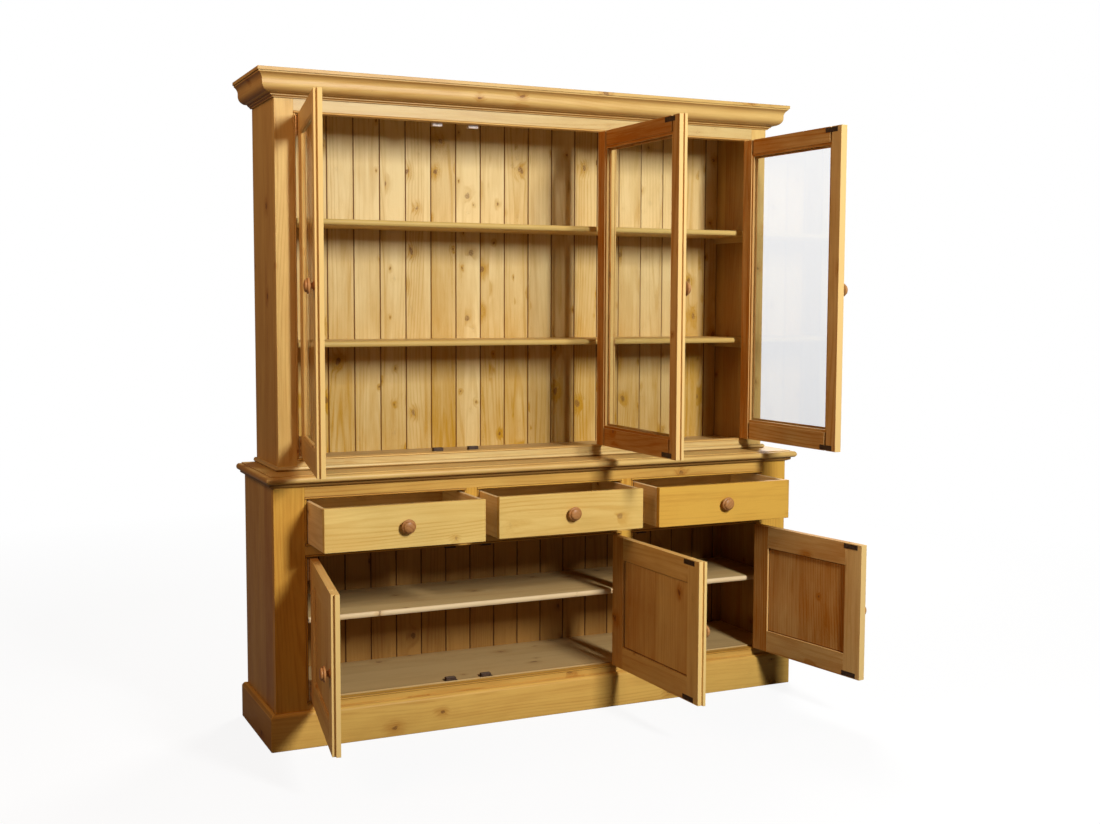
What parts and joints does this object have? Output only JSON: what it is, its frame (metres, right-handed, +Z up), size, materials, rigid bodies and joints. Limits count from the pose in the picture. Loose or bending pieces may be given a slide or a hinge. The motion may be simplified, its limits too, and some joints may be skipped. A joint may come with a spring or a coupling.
{
  "type": "welsh dresser",
  "caption": "Free-standing pine dresser: a glazed hutch with shelves over a base with drawers and panelled cupboards; doors swing on butt hinges and drawers slide on runners.",
  "frame": {"origin": "at floor level, mid width, on the back plane that stands against the wall", "axes": "+Z up, +Y out of the back towards the wall so the front faces -Y, +X to the right seen from the front"},
  "size_m": [1.934, 0.9568, 2.1],
  "materials": {
    "waxed_pine": "waxed golden pine with knots",
    "plain_pine": "plain pine boards, thinly waxed",
    "knob_wood": "turned knobs, polished, slightly redder",
    "hinge_brass": "satin brass",
    "black_metal": "dark catches",
    "clear_glass": "clear float glass"
  },
  "bodies": {
    "carcass": {"base_back_boards": "plain_pine", "base_floor": "waxed_pine", "base_left_side": "waxed_pine", "base_opening_beads": "waxed_pine", "base_rails": "waxed_pine", "base_right_side": "waxed_pine", "base_shelf": "waxed_pine", "base_uprights": "waxed_pine", "cornice": "waxed_pine", "cornice_cap_board": "waxed_pine", "door_catches": "black_metal", "drawer_runners": "plain_pine", "foot_moulding": "waxed_pine", "hinge_frame_leaves": "hinge_brass", "hutch_back_boards": "plain_pine", "hutch_floor": "waxed_pine", "hutch_left_side": "waxed_pine", "hutch_opening_beads": "waxed_pine", "hutch_rails": "waxed_pine", "hutch_right_side": "waxed_pine", "hutch_shelves": "waxed_pine", "hutch_stiles": "waxed_pine", "hutch_top": "waxed_pine", "plinth": "waxed_pine", "shelf_bearers": "plain_pine", "worktop": "waxed_pine", "worktop_bed_moulding": "waxed_pine"},
    "hutch_left_door": {"hutch_left_door_frame": "waxed_pine", "hutch_left_door_hardware": "hinge_brass", "hutch_left_door_knob": "knob_wood", "hutch_left_door_pane_sheet": "clear_glass"},
    "hutch_middle_door": {"hutch_middle_door_frame": "waxed_pine", "hutch_middle_door_hardware": "hinge_brass", "hutch_middle_door_knob": "knob_wood", "hutch_middle_door_pane_sheet": "clear_glass"},
    "hutch_right_door": {"hutch_right_door_frame": "waxed_pine", "hutch_right_door_hardware": "hinge_brass", "hutch_right_door_knob": "knob_wood", "hutch_right_door_pane_sheet": "clear_glass"},
    "base_left_door": {"base_left_door_frame": "waxed_pine", "base_left_door_hardware": "hinge_brass", "base_left_door_knob": "knob_wood", "base_left_door_panel_sheet": "waxed_pine"},
    "base_middle_door": {"base_middle_door_frame": "waxed_pine", "base_middle_door_hardware": "hinge_brass", "base_middle_door_knob": "knob_wood", "base_middle_door_panel_sheet": "waxed_pine"},
    "base_right_door": {"base_right_door_frame": "waxed_pine", "base_right_door_hardware": "hinge_brass", "base_right_door_knob": "knob_wood", "base_right_door_panel_sheet": "waxed_pine"},
    "left_drawer": {"left_drawer_box": "plain_pine", "left_drawer_front": "waxed_pine", "left_drawer_knob": "knob_wood"},
    "middle_drawer": {"middle_drawer_box": "plain_pine", "middle_drawer_front": "waxed_pine", "middle_drawer_knob": "knob_wood"},
    "right_drawer": {"right_drawer_box": "plain_pine", "right_drawer_front": "waxed_pine", "right_drawer_knob": "knob_wood"}
  },
  "joints": [
    {"name": "hutch_left_door_hinge", "type": "hinge", "parent": "carcass", "child": "hutch_left_door", "pos_m": [-0.83, -0.3083, 1.4365], "axis": [0, 0, -1], "range_deg": [-100, 70]},
    {"name": "hutch_middle_door_hinge", "type": "hinge", "parent": "carcass", "child": "hutch_middle_door", "pos_m": [0.245, -0.3083, 1.4365], "axis": [0, 0, 1], "range_deg": [-91, 79]},
    {"name": "hutch_right_door_hinge", "type": "hinge", "parent": "carcass", "child": "hutch_right_door", "pos_m": [0.83, -0.3083, 1.4365], "axis": [0, 0, 1], "range_deg": [-93, 77]},
    {"name": "base_left_door_hinge", "type": "hinge", "parent": "carcass", "child": "base_left_door", "pos_m": [-0.833, -0.4073, 0.371], "axis": [0, 0, -1], "range_deg": [-99, 71]},
    {"name": "base_middle_door_hinge", "type": "hinge", "parent": "carcass", "child": "base_middle_door", "pos_m": [0.25967, -0.4073, 0.371], "axis": [0, 0, 1], "range_deg": [-92, 78]},
    {"name": "base_right_door_hinge", "type": "hinge", "parent": "carcass", "child": "base_right_door", "pos_m": [0.833, -0.4073, 0.371], "axis": [0, 0, 1], "range_deg": [-99, 71]},
    {"name": "left_drawer_slide", "type": "slide", "parent": "carcass", "child": "left_drawer", "axis": [0, -1, 0], "range_m": [-0.191, 0.099]},
    {"name": "middle_drawer_slide", "type": "slide", "parent": "carcass", "child": "middle_drawer", "axis": [0, -1, 0], "range_m": [-0.169, 0.121]},
    {"name": "right_drawer_slide", "type": "slide", "parent": "carcass", "child": "right_drawer", "axis": [0, -1, 0], "range_m": [-0.181, 0.109]}
  ]
}
